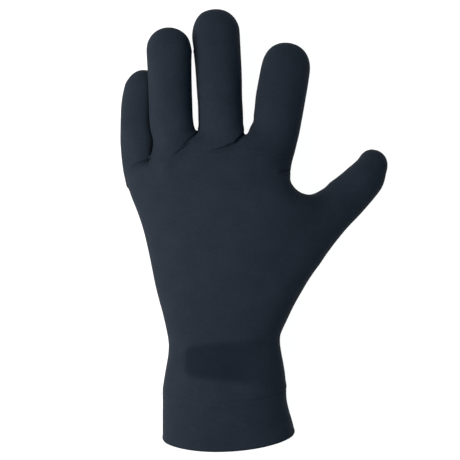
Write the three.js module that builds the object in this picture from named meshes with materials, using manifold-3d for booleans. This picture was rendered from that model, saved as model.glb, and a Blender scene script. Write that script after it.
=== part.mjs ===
// A left-hand diving glove in 3 mm neoprene, lying palm down on a table.
// A back panel and a palm panel meet along the sides and share the thumb. Four finger stalls are set on
// above the knuckles, and a band closes the wrist. Each piece is a wall round one hollow hand, open at the
// hem, and each keeps a hair's breadth from the next where the real one is glued.
// Millimetres: +Z up off the table, +Y from the hem to the fingertips, +X to the thumb's side.
import * as THREE from "three";
import { mergeVertices } from "three/addons/utils/BufferGeometryUtils.js";
import Module from "manifold-3d";

// Neoprene and its seams
const WALL = 3;
const SEAM_GAP = 0.3;
const CREASE_DEPTH = 1.1;

// Cuff band, from the hem up to its seam
const CUFF_LENGTH = 28.6;
const CUFF_WIDTH = 80;
const CUFF_HEIGHT = 46;
const BAND_BULGE = 4; // how far the middle of the hem and of its seam hangs below their ends
const HEM_SLANT = 2.4; // how much the hem climbs from its middle to the thumb's side

// Hand, from the cuff's seam up to the webs between the fingers
const HAND_LENGTH = 155;
const WRIST_WIDTH = 68;
const WRIST_HEIGHT = 40;
const KNUCKLE_WIDTH = 101;
const KNUCKLE_HEIGHT = 40;

// Soft hollow pressed into the back of the wrist. Its middle and half sizes are shares of the wrist's width
// and the hand's length.
const DENT_DEPTH = 1.6;
const DENT = { across: 0.09, along: 0.11, halfAcross: 0.38, halfAlong: 0.075 };

// Thumb, from its root in the heel of the hand
const THUMB_REACH = 91.5;
const THUMB_WIDTH = 25;
const THUMB_HEIGHT = 23;

// Finger stalls. Length runs from the knuckle to the fingertip, width and height are those of the stall.
// Across and tip place the knuckle and the fingertip, and sway bows the middle, all to the thumb's side.
// Knuckle and rest are the heights of the stall's middle line at the knuckle and at the fingertip.
const LITTLE = {
  length: 71.5,
  width: 22.4,
  height: 20,
  across: -49,
  tip: -50.9,
  sway: -2.6,
  knuckle: 16,
  rest: 9.6,
};
const RING = {
  length: 95.2,
  width: 26.2,
  height: 25,
  across: -31.2,
  tip: -33.4,
  sway: 0,
  knuckle: 25,
  rest: 21,
};
const MIDDLE = {
  length: 109,
  width: 28.2,
  height: 26,
  across: -1.6,
  tip: -5.2,
  sway: 0.9,
  knuckle: 25,
  rest: 12,
};
const INDEX = {
  length: 89,
  width: 29.2,
  height: 26,
  across: 24,
  tip: 37.4,
  sway: 1.2,
  knuckle: 24,
  rest: 12,
};
const BOW_SHARE = 0.6; // how much the middle line's middle keeps of its height at the knuckle
const KNUCKLE_ALONG = 0.8; // share of the hand's length where the stalls' middle lines start
const LITTLE_WEB_ALONG = 0.9; // share of the hand's length where the little finger parts from the ring finger
const LITTLE_LEAN = 32; // degrees by which the little finger's side leans in under the ring finger
const LEAN_RUN = 14; // how far past their web it takes to lean in

// How finely the sections are faceted
const HAND_SIDES = 34;
const STALL_SIDES = 18;
const AXIS_STEPS = 8;
const TIP_STEPS = 4;
const TIP_TURN = 0.96; // share of the quarter turn that a round tip closes through before its flat end
const HAND_SQUARENESS = 2.5; // 2 is an ellipse, and more is boxier
const STALL_SQUARENESS = 2.2;
const FAR = 300; // past everything
const HAIR = 0.002; // corners closer than this are one
const WALL_STEPS = [-30, -20, -10, 0, 10, 20, 30]; // up the wall between two stalls, so that it can twist
const LEAN_STEPS = 6;
const PAST_LEAN = 1; // least way between the last leaning station of that wall and the next one
const BAND_REACH = 2; // how far the arch of the hem and of its seam runs on, in half widths of the cuff
const BAND_STEPS = 10; // on each side of its middle
const CREASE_STEPS = 6;
const WELD = 1e-4; // corners of a form closer than this are one

const KNIT = new THREE.Color(0x2b323b);

// Sections of the cuff, from below the hem up to its seam. Along is a share of the cuff's length, left and
// right of its width, low and high of its height.
const CUFF_SECTIONS = [
  { along: -1.5, left: -0.468, right: 0.545, low: -0.02, high: 1 },
  { along: -0.85, left: -0.468, right: 0.532, low: -0.02, high: 1 },
  { along: -0.33, left: -0.468, right: 0.482, low: -0.02, high: 0.99 },
  { along: -0.02, left: -0.47, right: 0.466, low: -0.01, high: 0.975 },
];

// Sections of the wrist, as shares of the hand's length and of the wrist's width and height. Roll turns a
// section down on the little finger's side, in degrees.
const WRIST_SECTIONS = [
  { along: 0.012, left: -0.543, right: 0.545, low: 0, high: 1.1, roll: 0 },
  { along: 0.063, left: -0.527, right: 0.538, low: 0.01, high: 1.06, roll: 0 },
  { along: 0.169, left: -0.5, right: 0.5, low: 0.035, high: 1, roll: 0 },
  { along: 0.252, left: -0.525, right: 0.507, low: 0.02, high: 1, roll: 1 },
];

// Sections of the hand up to the webs, as shares of the hand's length and of the knuckles' width and height.
const PALM_SECTIONS = [
  { along: 0.378, left: -0.402, right: 0.383, low: -0.012, high: 0.985, roll: 2 },
  { along: 0.504, left: -0.444, right: 0.444, low: -0.03, high: 0.99, roll: 3 },
  { along: 0.63, left: -0.492, right: 0.529, low: -0.025, high: 1, roll: 3.5 },
  { along: 0.708, left: -0.529, right: 0.575, low: 0.01, high: 1.01, roll: 4 },
  { along: 0.745, left: -0.553, right: 0.565, low: 0.035, high: 1.01, roll: 4 },
  { along: 0.76, left: -0.563, right: 0.505, low: 0.045, high: 1.01, roll: 4.5 },
  { along: 0.776, left: -0.573, right: 0.452, low: 0.055, high: 1.01, roll: 4.5 },
  { along: 0.797, left: -0.583, right: 0.418, low: 0.07, high: 1.01, roll: 4.5 },
  { along: 0.846, left: -0.586, right: 0.39, low: 0.12, high: 1.01, roll: 5 },
  { along: 0.874, left: -0.535, right: 0.39, low: 0.15, high: 1, roll: 5 },
  { along: 0.905, left: -0.438, right: 0.39, low: 0.19, high: 0.975, roll: 4 },
  { along: 0.95, left: -0.41, right: 0.38, low: 0.25, high: 0.93, roll: 3 },
  { along: 0.98, left: -0.39, right: 0.35, low: 0.32, high: 0.86, roll: 3 },
  { along: 1, left: -0.36, right: 0.32, low: 0.42, high: 0.74, roll: 3 },
];

// Sections of a stall from the knuckle to where its round tip starts, as shares of its length up to there,
// of its width and of its height.
const STALL_SECTIONS = [
  { along: 0, width: 1.05, height: 1.08 },
  { along: 0.3, width: 1.02, height: 1.03 },
  { along: 0.55, width: 0.98, height: 0.98 },
  { along: 0.8, width: 1, height: 0.97 },
  { along: 1, width: 0.99, height: 0.95 },
];

// Sections of the thumb from the heel of the hand to where its round tip starts. Across is a share of the
// thumb's reach and along of the hand's length. Width, height and rise, which is how high its middle line
// lies, are shares of the thumb's width and height.
const THUMB_SECTIONS = [
  { across: 0.173, along: 0.208, width: 1.32, height: 1.5, rise: 0.86 },
  { across: 0.227, along: 0.303, width: 1.42, height: 1.56, rise: 0.86 },
  { across: 0.336, along: 0.433, width: 1.46, height: 1.56, rise: 0.85 },
  { across: 0.488, along: 0.56, width: 1.42, height: 1.46, rise: 0.8 },
  { across: 0.71, along: 0.69, width: 1.14, height: 1.2, rise: 0.66 },
  { across: 0.863, along: 0.768, width: 0.98, height: 1.02, rise: 0.52 },
  { across: 0.947, along: 0.825, width: 0.92, height: 0.93, rise: 0.45 },
  { across: 1, along: 0.881, width: 0.77, height: 0.8, rise: 0.39 },
];

// The seam between the back and palm panels, seen from the hem: across is a share of the thumb's reach,
// height of the knuckles'.
const SIDE_SEAM = [
  { across: -1.6, height: 0.4 },
  { across: -0.35, height: 0.46 },
  { across: 0.4, height: 0.46 },
  { across: 0.7, height: 0.38 },
  { across: 1.05, height: 0.22 },
  { across: 1.6, height: 0.2 },
];

// The seam above the knuckles that the stalls are set on with, from the little finger's side to the index
// finger's and then up past it, clear of the thumb. Shares of the knuckles' width and the hand's length.
const KNUCKLE_SEAM = [
  { across: -1, along: 0.7 },
  { across: -0.593, along: 0.806 },
  { across: -0.451, along: 0.868 },
  { across: -0.306, along: 0.887 },
  { across: -0.057, along: 0.918 },
  { across: 0.154, along: 0.93 },
  { across: 0.415, along: 0.905 },
  { across: 0.5, along: 0.9 },
  { across: 0.75, along: 1.3 },
];

// Creases in the back where the stalls buckle above the knuckles, each from its deep end past its middle to
// where it runs out. Shares of the knuckles' width and the hand's length, and width in shares of the wall.
const CREASES = [
  { from: [-0.148, 1.037], by: [-0.225, 0.952], to: [-0.312, 0.902], width: 0.5 },
  { from: [0.142, 1.041], by: [0.08, 0.951], to: [-0.055, 0.934], width: 0.55 },
  { from: [-0.44, 0.894], by: [-0.515, 0.882], to: [-0.585, 0.87], width: 0.4 },
];

const wasm = await Module();
wasm.setup();

// The solid inside a closed geometry.
function solidOf(geometry) {
  const bare = geometry.index ? geometry.toNonIndexed() : geometry.clone();
  bare.deleteAttribute("normal");
  bare.deleteAttribute("uv");
  const merged = mergeVertices(bare, WELD);
  const vertProperties = merged.attributes.position.array;
  const triVerts = new Uint32Array(merged.index.array);
  return new wasm.Manifold(new wasm.Mesh({ numProp: 3, vertProperties, triVerts }));
}

// The geometry of a solid, with flat faces. Corners closer than a hair are welded, and faces that this
// closes up are left out.
function geometryOf(solid) {
  const { vertProperties, triVerts } = solid.getMesh();
  const cut = new THREE.BufferGeometry();
  cut.setAttribute("position", new THREE.BufferAttribute(vertProperties, 3));
  cut.setIndex(new THREE.BufferAttribute(triVerts, 1));
  const welded = mergeVertices(cut, HAIR);
  const faces = [];
  for (let at = 0; at < welded.index.count; at += 3) {
    const [a, b, c] = [0, 1, 2].map((corner) => welded.index.getX(at + corner));
    if (a !== b && b !== c && c !== a) faces.push(a, b, c);
  }
  welded.setIndex(faces);
  const faceted = welded.toNonIndexed();
  faceted.computeVertexNormals();
  return faceted;
}

// The solid whose skin runs through rings of equal count, with a fan over each end.
function loft(rings) {
  const sides = rings[0].length;
  const points = rings.flat();
  const faces = [];
  for (let row = 0; row + 1 < rings.length; row++) {
    for (let side = 0; side < sides; side++) {
      const [a, b] = [row * sides + side, row * sides + ((side + 1) % sides)];
      faces.push(a, b, b + sides, a, b + sides, a + sides);
    }
  }
  for (const row of [0, rings.length - 1]) {
    const middle = points.length;
    const sum = rings[row].reduce((total, point) => total.add(point), new THREE.Vector3());
    points.push(sum.divideScalar(sides));
    for (let side = 0; side < sides; side++) {
      const [a, b] = [row * sides + side, row * sides + ((side + 1) % sides)];
      faces.push(middle, ...(row === 0 ? [b, a] : [a, b]));
    }
  }
  const geometry = new THREE.BufferGeometry().setFromPoints(points);
  geometry.setIndex(faces);
  return solidOf(geometry);
}

// A rounded ring about a centre, with its half sizes along a side and an up direction.
function ring(centre, side, up, halfWidth, halfHeight, squareness, count) {
  const bow = (value) => Math.sign(value) * Math.abs(value) ** (2 / squareness);
  return Array.from({ length: count }, (_, step) => {
    const angle = (-2 * Math.PI * step) / count;
    const point = centre.clone().addScaledVector(side, halfWidth * bow(Math.cos(angle)));
    return point.addScaledVector(up, halfHeight * bow(Math.sin(angle)));
  });
}

// How far the back of the wrist is pressed in at a point of the hand.
function dentAt(point) {
  const across = (point.x / WRIST_WIDTH - DENT.across) / DENT.halfAcross;
  const along = (point.y / HAND_LENGTH - DENT.along) / DENT.halfAlong;
  const onBack = point.z > WRIST_HEIGHT / 2 ? 1 : 0;
  return onBack * DENT_DEPTH * Math.exp(-(across ** 4) - along ** 4);
}

// The cuff and hand without stalls, with the skin moved out by grow.
function handForm(grow) {
  const cuffSizes = { span: CUFF_LENGTH, broad: CUFF_WIDTH, tall: CUFF_HEIGHT, roll: 0 };
  const wristSizes = { span: HAND_LENGTH, broad: WRIST_WIDTH, tall: WRIST_HEIGHT };
  const palmSizes = { span: HAND_LENGTH, broad: KNUCKLE_WIDTH, tall: KNUCKLE_HEIGHT };
  const rows = [
    ...CUFF_SECTIONS.map((row) => ({ ...row, ...cuffSizes })),
    ...WRIST_SECTIONS.map((row) => ({ ...row, ...wristSizes })),
    ...PALM_SECTIONS.map((row) => ({ ...row, ...palmSizes })),
  ];
  const rings = rows.map((row) => {
    const halfWidth = (row.broad * (row.right - row.left)) / 2 + grow;
    const halfHeight = (row.tall * (row.high - row.low)) / 2 + grow;
    const across = (row.broad * (row.right + row.left)) / 2;
    const rise = (row.tall * (row.high + row.low)) / 2;
    const along = row.span * row.along + (row.along === 1 ? grow : 0);
    const roll = THREE.MathUtils.degToRad(row.roll);
    const side = new THREE.Vector3(Math.cos(roll), 0, Math.sin(roll));
    const up = new THREE.Vector3(-Math.sin(roll), 0, Math.cos(roll));
    const centre = new THREE.Vector3(across, along, rise);
    return ring(centre, side, up, halfWidth, halfHeight, HAND_SQUARENESS, HAND_SIDES);
  });
  for (const point of rings.flat()) point.z -= dentAt(point);
  return loft(rings);
}

// The half sizes of a sleeve at a share of its way, between the rows of its sections.
function halfSizesAt(sections, share) {
  const after = Math.max(1, sections.findIndex((row) => row.at >= share));
  const [low, high] = [sections[after - 1], sections[after]];
  const mix = (share - low.at) / (high.at - low.at);
  return {
    halfWidth: THREE.MathUtils.lerp(low.halfWidth, high.halfWidth, mix),
    halfHeight: THREE.MathUtils.lerp(low.halfHeight, high.halfHeight, mix),
  };
}

// A round-ended sleeve along a curve, through sections of half sizes, with the skin moved out by grow.
function sleeve(curve, sections, grow) {
  const rings = [];
  const addRing = (share, halfWidth, halfHeight, ahead) => {
    const forward = curve.getTangent(share);
    const side = new THREE.Vector3(forward.y, -forward.x, 0).normalize();
    const up = new THREE.Vector3().crossVectors(side, forward);
    const centre = curve.getPoint(share).addScaledVector(forward, ahead);
    rings.push(ring(centre, side, up, halfWidth, halfHeight, STALL_SQUARENESS, STALL_SIDES));
  };
  for (let step = 0; step <= AXIS_STEPS; step++) {
    const { halfWidth, halfHeight } = halfSizesAt(sections, step / AXIS_STEPS);
    addRing(step / AXIS_STEPS, halfWidth + grow, halfHeight + grow, 0);
  }
  const { halfWidth, halfHeight } = halfSizesAt(sections, 1);
  for (let step = 1; step <= TIP_STEPS; step++) {
    const angle = (TIP_TURN * Math.PI * step) / (2 * TIP_STEPS);
    const shrink = Math.cos(angle);
    const ahead = (halfWidth + grow) * Math.sin(angle);
    addRing(1, (halfWidth + grow) * shrink, (halfHeight + grow) * shrink, ahead);
  }
  return loft(rings);
}

// The middle line of a stall, from the knuckle to the centre of its round tip.
function stallAxis(finger) {
  const start = KNUCKLE_ALONG * HAND_LENGTH;
  const reach = finger.length - finger.width / 2;
  const along = Math.sqrt(reach ** 2 - (finger.tip - finger.across) ** 2);
  const bow = new THREE.Vector3(
    (finger.across + finger.tip) / 2 + finger.sway,
    start + along / 2,
    BOW_SHARE * finger.knuckle + (1 - BOW_SHARE) * finger.rest,
  );
  const knuckle = new THREE.Vector3(finger.across, start, finger.knuckle);
  const tip = new THREE.Vector3(finger.tip, start + along, finger.rest);
  return new THREE.CatmullRomCurve3([knuckle, bow, tip]);
}

function stallSections(finger) {
  return STALL_SECTIONS.map((row) => ({
    at: row.along,
    halfWidth: (row.width * finger.width) / 2,
    halfHeight: (row.height * finger.height) / 2,
  }));
}

const stallForm = (finger, grow) => sleeve(stallAxis(finger), stallSections(finger), grow);

function thumbForm(grow) {
  const points = THUMB_SECTIONS.map(({ across, along, rise }) => {
    return new THREE.Vector3(across * THUMB_REACH, along * HAND_LENGTH, rise * THUMB_HEIGHT);
  });
  const sections = THUMB_SECTIONS.map((row, index) => ({
    at: index / (THUMB_SECTIONS.length - 1),
    halfWidth: (row.width * THUMB_WIDTH) / 2,
    halfHeight: (row.height * THUMB_HEIGHT) / 2,
  }));
  return sleeve(new THREE.CatmullRomCurve3(points), sections, grow);
}

// A block as tall as everything over an outline in plan.
function planBlock(outline) {
  const shape = new THREE.Shape(outline);
  const block = new THREE.ExtrudeGeometry(shape, { depth: 2 * FAR, bevelEnabled: false });
  return solidOf(block.translate(0, 0, -FAR));
}

// Everything below the curve of the cuff's hem, or of the cuff's seam.
function belowBand(ends, slant) {
  const [left, right] = [-CUFF_WIDTH / 2, CUFF_WIDTH / 2];
  const points = [];
  for (let step = -BAND_STEPS; step <= BAND_STEPS; step++) {
    const side = (BAND_REACH * step) / BAND_STEPS; // 1 at the cuff's edge on the thumb's side
    const across = THREE.MathUtils.lerp(left, right, (side + 1) / 2);
    points.push(new THREE.Vector2(across, ends + slant * side - BAND_BULGE * (1 - side ** 2)));
  }
  const lowest = -FAR;
  return planBlock([
    new THREE.Vector2(points[0].x, lowest),
    new THREE.Vector2(points[points.length - 1].x, lowest),
    ...points.reverse(),
  ]);
}

// Everything beyond the seam that the stalls are set on with, clear of the thumb.
function beyondKnuckles() {
  const seam = KNUCKLE_SEAM.map(({ across, along }) => {
    return new THREE.Vector2(across * KNUCKLE_WIDTH, along * HAND_LENGTH);
  });
  const [first, last] = [seam[0], seam[seam.length - 1]];
  return planBlock([...seam, new THREE.Vector2(last.x, FAR), new THREE.Vector2(first.x, FAR)]);
}

// Everything above the seam along the sides of the hand.
function aboveSideSeam() {
  const seam = SIDE_SEAM.map(({ across, height }) => {
    return new THREE.Vector2(across * THUMB_REACH, height * KNUCKLE_HEIGHT);
  });
  const [first, last] = [seam[0], seam[seam.length - 1]];
  const outline = new THREE.Shape([...seam, new THREE.Vector2(last.x, FAR), new THREE.Vector2(first.x, FAR)]);
  const block = new THREE.ExtrudeGeometry(outline, { depth: 2 * FAR, bevelEnabled: false });
  return solidOf(block.rotateX(Math.PI / 2).translate(0, FAR, 0));
}

// Everything on the thumb's side of a wall between two stalls, which keeps a clearance from it. At each
// station the wall passes a point, and it leans from upright by an angle.
function pastWall(stations, clearance) {
  const rings = stations.map(({ point, lean }) => {
    const normal = new THREE.Vector3(Math.cos(lean), 0, Math.sin(lean));
    const upward = new THREE.Vector3(-Math.sin(lean), 0, Math.cos(lean));
    const near = point.clone().addScaledVector(normal, clearance);
    const far = near.clone().addScaledVector(normal, FAR);
    const face = [-FAR, ...WALL_STEPS, FAR].map((step) => near.clone().addScaledVector(upward, step));
    return [far.clone().addScaledVector(upward, FAR), far.addScaledVector(upward, -FAR), ...face];
  });
  return loft(rings);
}

// A stall's middle line and half sizes where it crosses a place along the hand.
function stallAt(finger, along) {
  const curve = stallAxis(finger);
  const [start, end] = [curve.getPoint(0).y, curve.getPoint(1).y];
  const share = THREE.MathUtils.clamp((along - start) / (end - start), 0, 1);
  const centre = curve.getPoint(share).setY(along);
  return { centre, ...halfSizesAt(stallSections(finger), share) };
}

// Stations of the wall between two neighbours, midway between their facing sides.
function wallBetween(finger, neighbour, places) {
  return places.map((along) => {
    const [left, right] = [stallAt(finger, along), stallAt(neighbour, along)];
    const across = (left.centre.x + left.halfWidth + right.centre.x - right.halfWidth) / 2;
    return { point: new THREE.Vector3(across, along, 0), lean: 0 };
  });
}

// Stations of the wall that touches a stall's round side from the little finger's side. It stands upright
// up to the web and leans in under the stall past it.
function wallUnder(finger, places) {
  const power = STALL_SQUARENESS / (STALL_SQUARENESS - 1);
  return places.map((along) => {
    const leaned = THREE.MathUtils.smoothstep(along, webPlace, webPlace + LEAN_RUN);
    const lean = THREE.MathUtils.degToRad(LITTLE_LEAN * leaned);
    const { centre, halfWidth, halfHeight } = stallAt(finger, along);
    const sum = (halfWidth * Math.cos(lean)) ** power + (halfHeight * Math.sin(lean)) ** power;
    const radius = sum ** (1 / power) + SEAM_GAP;
    const outward = new THREE.Vector3(-Math.cos(lean), 0, -Math.sin(lean));
    return { point: outward.multiplyScalar(radius).add(centre), lean };
  });
}

// A crease: a slit in plan, widest in its middle, down to where the hand is a little slimmer.
function crease(row, slimmer) {
  const [from, by, to] = [row.from, row.by, row.to].map(
    ([across, along]) => new THREE.Vector2(across * KNUCKLE_WIDTH, along * HAND_LENGTH),
  );
  const across = to.clone().sub(from).rotateAround(new THREE.Vector2(), Math.PI / 2);
  const width = across.setLength(row.width * WALL);
  const outline = new THREE.Shape();
  outline.moveTo(from.x, from.y);
  outline.quadraticCurveTo(by.x + width.x, by.y + width.y, to.x, to.y);
  outline.quadraticCurveTo(by.x - width.x, by.y - width.y, from.x, from.y);
  const settings = { depth: FAR, bevelEnabled: false, curveSegments: CREASE_STEPS };
  const block = new THREE.ExtrudeGeometry(outline, settings);
  return solidOf(block.translate(0, 0, KNUCKLE_HEIGHT / 2)).subtract(slimmer);
}

const stalls = { little_finger: LITTLE, ring_finger: RING, middle_finger: MIDDLE, index_finger: INDEX };
const webPlace = LITTLE_WEB_ALONG * HAND_LENGTH;
const longest = Math.max(...Object.values(stalls).map((finger) => finger.length));
const knuckles = KNUCKLE_ALONG * HAND_LENGTH;
const stationsAlong = (start, run, steps) => {
  return Array.from({ length: steps + 1 }, (_, step) => start + (run * step) / steps);
};
const places = stationsAlong(knuckles, longest, AXIS_STEPS);
const leaning = stationsAlong(webPlace, LEAN_RUN, LEAN_STEPS);
const past = places.filter((along) => along > webPlace + LEAN_RUN + PAST_LEAN);
const walls = [
  wallUnder(RING, [0, ...leaning, ...past, FAR]),
  wallBetween(RING, MIDDLE, [0, ...places, FAR]),
  wallBetween(MIDDLE, INDEX, [0, ...places, FAR]),
];

// The hand with its stalls and thumb, with the skin moved out by grow. The little finger is pressed flat
// where it lies under the ring finger, and the underside where it lies on the table.
function gloveForm(grow) {
  const beyondWeb = new THREE.BoxGeometry(2 * FAR, FAR, 2 * FAR);
  const pastWeb = solidOf(beyondWeb.translate(0, webPlace + grow + FAR / 2, 0));
  const pressed = pastWall(walls[0], grow - SEAM_GAP).intersect(pastWeb);
  const below = new THREE.BoxGeometry(2 * FAR, 2 * FAR, FAR);
  const table = solidOf(below.translate(0, 0, -FAR / 2 - grow));
  return handForm(grow)
    .add(stallForm(LITTLE, grow).subtract(pressed))
    .add(stallForm(RING, grow))
    .add(stallForm(MIDDLE, grow))
    .add(stallForm(INDEX, grow))
    .add(thumbForm(grow))
    .subtract(table);
}

let glove = gloveForm(0);
const slimmer = gloveForm(-CREASE_DEPTH);
for (const row of CREASES) glove = glove.subtract(crease(row, slimmer));
glove = glove.subtract(gloveForm(-WALL)).subtract(belowBand(-CUFF_LENGTH, HEM_SLANT));

// Seams: each pair of pieces stops half a gap short of the cut between them.
const half = SEAM_GAP / 2;
const cuff = belowBand(0, 0);
const beyond = beyondKnuckles();
const above = aboveSideSeam();
const hand = glove.subtract(cuff.translate(0, half, 0)).subtract(beyond.translate(0, -half, 0));
const fingers = glove.intersect(beyond.translate(0, half, 0));

const pieces = {
  cuff_band: glove.intersect(cuff.translate(0, -half, 0)),
  back_panel: hand.intersect(above.translate(0, 0, half)),
  palm_panel: hand.subtract(above.translate(0, 0, -half)),
};
Object.keys(stalls).forEach((name, index) => {
  const [before, after] = [walls[index - 1], walls[index]];
  let stall = fingers;
  if (before) stall = stall.intersect(pastWall(before, half));
  if (after) stall = stall.subtract(pastWall(after, -half));
  pieces[name] = stall;
});

const diving_glove = new THREE.Group();
for (const [name, solid] of Object.entries(pieces)) {
  const material = new THREE.MeshStandardMaterial({ color: KNIT, roughness: 0.85, metalness: 0 });
  const mesh = new THREE.Mesh(geometryOf(solid), material);
  mesh.name = name;
  diving_glove.add(mesh);
}

// The glove stands on the middle of its own box.
const box = new THREE.Box3().setFromObject(diving_glove);
const centre = box.getCenter(new THREE.Vector3());
diving_glove.position.set(-centre.x, -centre.y, -box.min.z);

export default diving_glove;
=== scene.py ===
"""The looks of a left-hand diving glove in 3 mm neoprene that lies palm down on a white table.

The skin of the whole glove is grown from closed forms of the hand, the thumb and each finger stall, then cut
along its seams into the pieces that the CAD names. Each piece gets its 3 mm wall, and the seams, the
creases and the cut hem are worked into its outer face. The meshes are in metres, in the CAD's frame.
"""

import math

import bmesh
import bpy
import numpy as np
from mathutils import Matrix, Vector, noise
from mathutils.bvhtree import BVHTree
from mathutils.kdtree import KDTree


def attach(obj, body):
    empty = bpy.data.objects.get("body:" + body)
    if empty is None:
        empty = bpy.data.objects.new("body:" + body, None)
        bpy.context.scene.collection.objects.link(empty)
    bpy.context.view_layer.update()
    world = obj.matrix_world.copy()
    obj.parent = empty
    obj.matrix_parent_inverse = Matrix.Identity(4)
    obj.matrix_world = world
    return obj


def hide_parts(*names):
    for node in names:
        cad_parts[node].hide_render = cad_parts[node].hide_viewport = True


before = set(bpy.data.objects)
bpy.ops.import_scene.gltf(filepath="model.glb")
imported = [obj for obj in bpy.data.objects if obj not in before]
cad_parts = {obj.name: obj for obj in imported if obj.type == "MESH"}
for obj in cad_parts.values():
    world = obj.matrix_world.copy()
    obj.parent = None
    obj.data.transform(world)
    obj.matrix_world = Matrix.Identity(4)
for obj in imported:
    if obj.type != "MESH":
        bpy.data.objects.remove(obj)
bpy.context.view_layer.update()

# Lengths below are millimetres from the middle of the cuff's seam, as the glove was measured. The packed
# frame stands on the middle of its own box, which lies this far from there.
MM = 0.001
FRAME_ORIGIN = Vector((18.707, 99.887, 0.0))

# Neoprene and its seams
WALL = 3.0
SEAM_GAP = 0.3
SLIVER = 0.04  # corners that a cut leaves nearer than this are merged
VOXEL = 1.25
SKIN_SMOOTHING = 9
LOFT = 0.28  # how far the jersey stands proud of the forms
TABLE_EASE = 0.6
TABLE_CLEARANCE = 0.02
SOFT_ANGLE = 50  # degrees. Faces that turn less are shaded as one.

# Cuff band
CUFF_LENGTH = 28.6
CUFF_WIDTH = 80.0
CUFF_HEIGHT = 46.0
BAND_BULGE = 4.8
BAND_RISE = 0.5
BAND_SLANT = 0.8
HEM_DEPTH = 28.9
HEM_BULGE = 4.4
HEM_SLANT = 1.5

# Hand
HAND_LENGTH = 155.0
WRIST_WIDTH = 68.0
WRIST_HEIGHT = 40.0
KNUCKLE_WIDTH = 101.0
KNUCKLE_HEIGHT = 40.0

# Thumb
THUMB_REACH = 91.5
THUMB_WIDTH = 25.0
THUMB_HEIGHT = 23.0

# Finger stalls. Across and tip place the knuckle and the fingertip, sway bows the middle, and knuckle and
# rest are the heights of the middle line at its two ends.
LITTLE = {"length": 71.5, "width": 22.4, "height": 20.0, "across": -49.0, "tip": -50.9, "sway": -3.3,
          "knuckle": 16.0, "rest": 9.6}
RING = {"length": 95.0, "width": 26.6, "height": 25.0, "across": -31.2, "tip": -33.9, "sway": 0.0,
        "knuckle": 25.0, "rest": 21.0}
MIDDLE = {"length": 108.3, "width": 28.2, "height": 26.0, "across": -1.6, "tip": -5.2, "sway": 0.9,
          "knuckle": 25.0, "rest": 12.0}
INDEX = {"length": 89.0, "width": 30.4, "height": 26.0, "across": 24.0, "tip": 37.9, "sway": 0.7,
         "knuckle": 24.0, "rest": 12.0}
KNUCKLE_ALONG = 0.8 * HAND_LENGTH
KNUCKLE_SHARE = 0.6
LITTLE_WEB = 0.9 * HAND_LENGTH
LITTLE_STEP = 2.0  # how far before that web the hand's form ends inside the little stall's skin
LITTLE_LEAN = 32.0
LEAN_RUN = 14.0
LEAN_EASE = 0.8
LEAN_FROM = -0.5
LEAN_FULL = 2.5

HAND_SIDES = 72
STALL_SIDES = 40
HAND_SQUARENESS = 2.5
STALL_SQUARENESS = 2.2
ROWS_BETWEEN = 3
AXIS_STEPS = 28
TIP_STEPS = 9
TIP_TURN = 0.97

# Sections of the cuff, wrist and palm: along, left, right, low and high as shares of the sizes above, and the
# roll down on the little finger's side in degrees.
CUFF_SECTIONS = [
    (-1.5, -0.464, 0.542, -0.02, 1.0, 0),
    (-0.85, -0.464, 0.528, -0.02, 1.0, 0),
    (-0.33, -0.464, 0.477, -0.02, 0.99, 0),
    (-0.02, -0.465, 0.464, -0.01, 0.975, 0),
]
WRIST_SECTIONS = [
    (0.012, -0.543, 0.545, 0.0, 1.1, 0),
    (0.063, -0.527, 0.538, 0.01, 1.06, 0),
    (0.169, -0.494, 0.489, 0.035, 1.0, 0),
    (0.252, -0.525, 0.507, 0.02, 1.0, 1),
]
PALM_SECTIONS = [
    (0.378, -0.402, 0.383, -0.012, 0.985, 2),
    (0.504, -0.444, 0.444, -0.03, 0.99, 3),
    (0.63, -0.492, 0.529, -0.025, 1.0, 3.5),
    (0.708, -0.529, 0.575, 0.01, 1.01, 4),
    (0.745, -0.553, 0.565, 0.035, 1.01, 4),
    (0.76, -0.563, 0.505, 0.045, 1.01, 4.5),
    (0.776, -0.573, 0.452, 0.055, 1.01, 4.5),
    (0.797, -0.583, 0.418, 0.07, 1.01, 4.5),
    (0.846, -0.586, 0.39, 0.12, 1.01, 5),
    (0.874, -0.535, 0.39, 0.15, 1.0, 5),
    (0.905, -0.438, 0.39, 0.19, 0.975, 4),
    (0.95, -0.41, 0.38, 0.25, 0.93, 3),
    (0.98, -0.39, 0.35, 0.32, 0.86, 3),
    (1.0, -0.36, 0.32, 0.42, 0.74, 3),
]

# Sections of a stall: along, width and height as shares.
STALL_SECTIONS = [
    (0.0, 1.05, 1.08),
    (0.3, 1.0, 1.03),
    (0.55, 0.96, 0.98),
    (0.8, 0.99, 0.97),
    (1.0, 1.02, 0.95),
]

# Sections of the thumb: across, along, width, height and rise as shares.
THUMB_SECTIONS = [
    (0.173, 0.208, 1.32, 1.5, 0.86),
    (0.227, 0.303, 1.42, 1.56, 0.86),
    (0.336, 0.433, 1.46, 1.56, 0.85),
    (0.488, 0.56, 1.42, 1.46, 0.8),
    (0.71, 0.69, 1.14, 1.2, 0.66),
    (0.863, 0.768, 0.98, 1.02, 0.52),
    (0.947, 0.825, 0.92, 0.93, 0.45),
    (1.0, 0.881, 0.77, 0.8, 0.39),
]

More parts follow.
